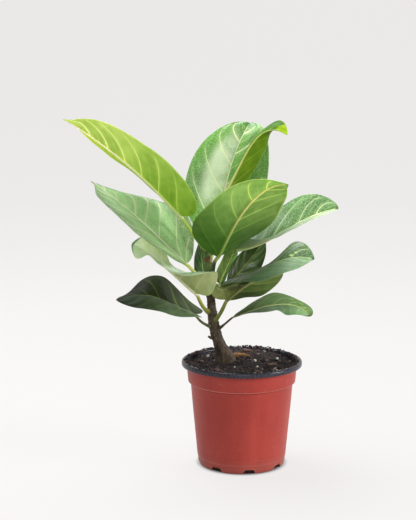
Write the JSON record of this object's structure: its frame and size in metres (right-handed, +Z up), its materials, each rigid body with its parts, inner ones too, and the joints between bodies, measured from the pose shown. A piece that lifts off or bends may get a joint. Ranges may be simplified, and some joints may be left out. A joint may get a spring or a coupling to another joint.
{
  "type": "potted ficus",
  "caption": "Young banyan fig with broad oval leaves on one leaning woody stem, in a round tapered nursery pot filled with potting mix.",
  "frame": {"origin": "centre of the pot's flat underside, on the pot's axis", "axes": "+Z up along the pot's axis, the plant's front faces -Y, +X to the right seen from the front"},
  "size_m": [0.3345, 0.2007, 0.4336],
  "materials": {
    "pot_plastic": "satin terracotta-red outside, black inside and at the rim",
    "potting_mix": "rough, dark brown",
    "stem_bark": "rough bark, turning green towards the top",
    "leaf": "waxy upper side, paler matt underside",
    "dried_stipule": "dry and papery",
    "bark_chip": "rough",
    "perlite": "matt, porous"
  },
  "bodies": {
    "root": {"pot": "pot_plastic", "potting_mix": "potting_mix", "stem": "stem_bark", "leaf_01": "leaf", "leaf_02": "leaf", "leaf_03": "leaf", "leaf_04": "leaf", "leaf_05": "leaf", "leaf_06": "leaf", "leaf_07": "leaf", "leaf_08": "leaf", "leaf_09": "leaf", "leaf_10": "leaf", "leaf_11": "leaf", "leaf_12": "leaf", "leaf_13": "leaf", "leaf_14": "leaf", "stipule_scrap": "dried_stipule", "stipule_flake": "dried_stipule", "bark_chip_1": "bark_chip", "bark_chip_2": "bark_chip", "bark_chip_3": "bark_chip", "bark_chip_4": "bark_chip", "bark_chip_5": "bark_chip", "bark_chip_6": "bark_chip", "perlite_1": "perlite", "perlite_2": "perlite", "perlite_3": "perlite", "perlite_4": "perlite"}
  },
  "joints": []
}
